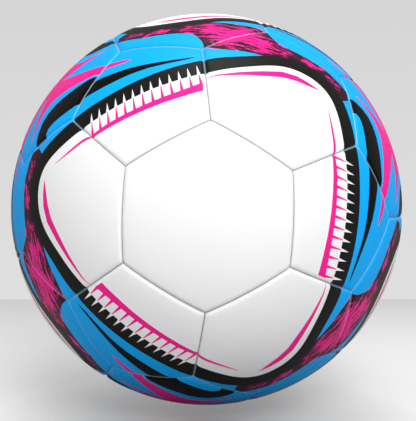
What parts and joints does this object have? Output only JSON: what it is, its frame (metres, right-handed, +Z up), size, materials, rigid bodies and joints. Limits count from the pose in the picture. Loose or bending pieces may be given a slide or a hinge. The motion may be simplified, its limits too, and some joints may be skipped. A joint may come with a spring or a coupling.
{
  "type": "soccer ball",
  "caption": "Round hand-stitched ball of padded pentagon and hexagon panels over an air bladder, with a needle valve flush in one hexagon.",
  "frame": {"origin": "centre of the ball", "axes": "+Z up; -Y towards the middle of a white hexagon; +Y along the valve, out of the ball"},
  "size_m": [0.22, 0.2199, 0.22],
  "materials": {
    "cover_white": "satin, white printed synthetic leather",
    "cover_comb": "satin, white synthetic leather printed with a charcoal band, a comb of spikes and blue",
    "cover_corner": "satin, synthetic leather printed white inside a charcoal band, blue and brushed magenta outside",
    "cover_swirl": "satin, blue synthetic leather printed with black and magenta swooshes",
    "foam": null,
    "lining": "matt woven polyester and cotton",
    "thread": "waxed polyester thread",
    "bladder": "satin black butyl rubber",
    "bladder_patch": "satin black rubber",
    "backing_cloth": "matt woven cloth",
    "valve_rubber": "satin black rubber",
    "valve_core_rubber": "satin grey silicone rubber"
  },
  "bodies": {
    "root": {"bladder": "bladder", "comb_pentagon_panel_01": "cover_comb", "comb_pentagon_panel_02": "cover_comb", "comb_pentagon_panel_03": "cover_comb", "comb_pentagon_panel_04": "cover_comb", "comb_pentagon_panel_05": "cover_comb", "comb_pentagon_panel_06": "cover_comb", "comb_pentagon_panel_07": "cover_comb", "comb_pentagon_panel_08": "cover_comb", "comb_pentagon_panel_09": "cover_comb", "comb_pentagon_panel_10": "cover_comb", "comb_pentagon_panel_11": "cover_comb", "comb_pentagon_panel_12": "cover_comb", "corner_hexagon_panel_01": "cover_corner", "corner_hexagon_panel_02": "cover_corner", "corner_hexagon_panel_03": "cover_corner", "corner_hexagon_panel_04": "cover_corner", "corner_hexagon_panel_05": "cover_corner", "corner_hexagon_panel_06": "cover_corner", "corner_hexagon_panel_07": "cover_corner", "corner_hexagon_panel_08": "cover_corner", "corner_hexagon_panel_09": "cover_corner", "corner_hexagon_panel_10": "cover_corner", "corner_hexagon_panel_11": "cover_corner", "corner_hexagon_panel_12": "cover_corner", "hexagon_foams": "foam", "hexagon_linings": "lining", "hexagon_seam_threads": "thread", "pentagon_foams": "foam", "pentagon_linings": "lining", "pentagon_seam_threads": "thread", "swirl_hexagon_panel_01": "cover_swirl", "swirl_hexagon_panel_02": "cover_swirl", "swirl_hexagon_panel_03": "cover_swirl", "swirl_hexagon_panel_04": "cover_swirl", "valve_backing_ring": "backing_cloth", "valve_body": "valve_rubber", "valve_core": "valve_core_rubber", "valve_patch": "bladder_patch", "white_hexagon_panel_01": "cover_white", "white_hexagon_panel_02": "cover_white", "white_hexagon_panel_03": "cover_white", "white_hexagon_panel_04": "cover_white"}
  },
  "joints": []
}
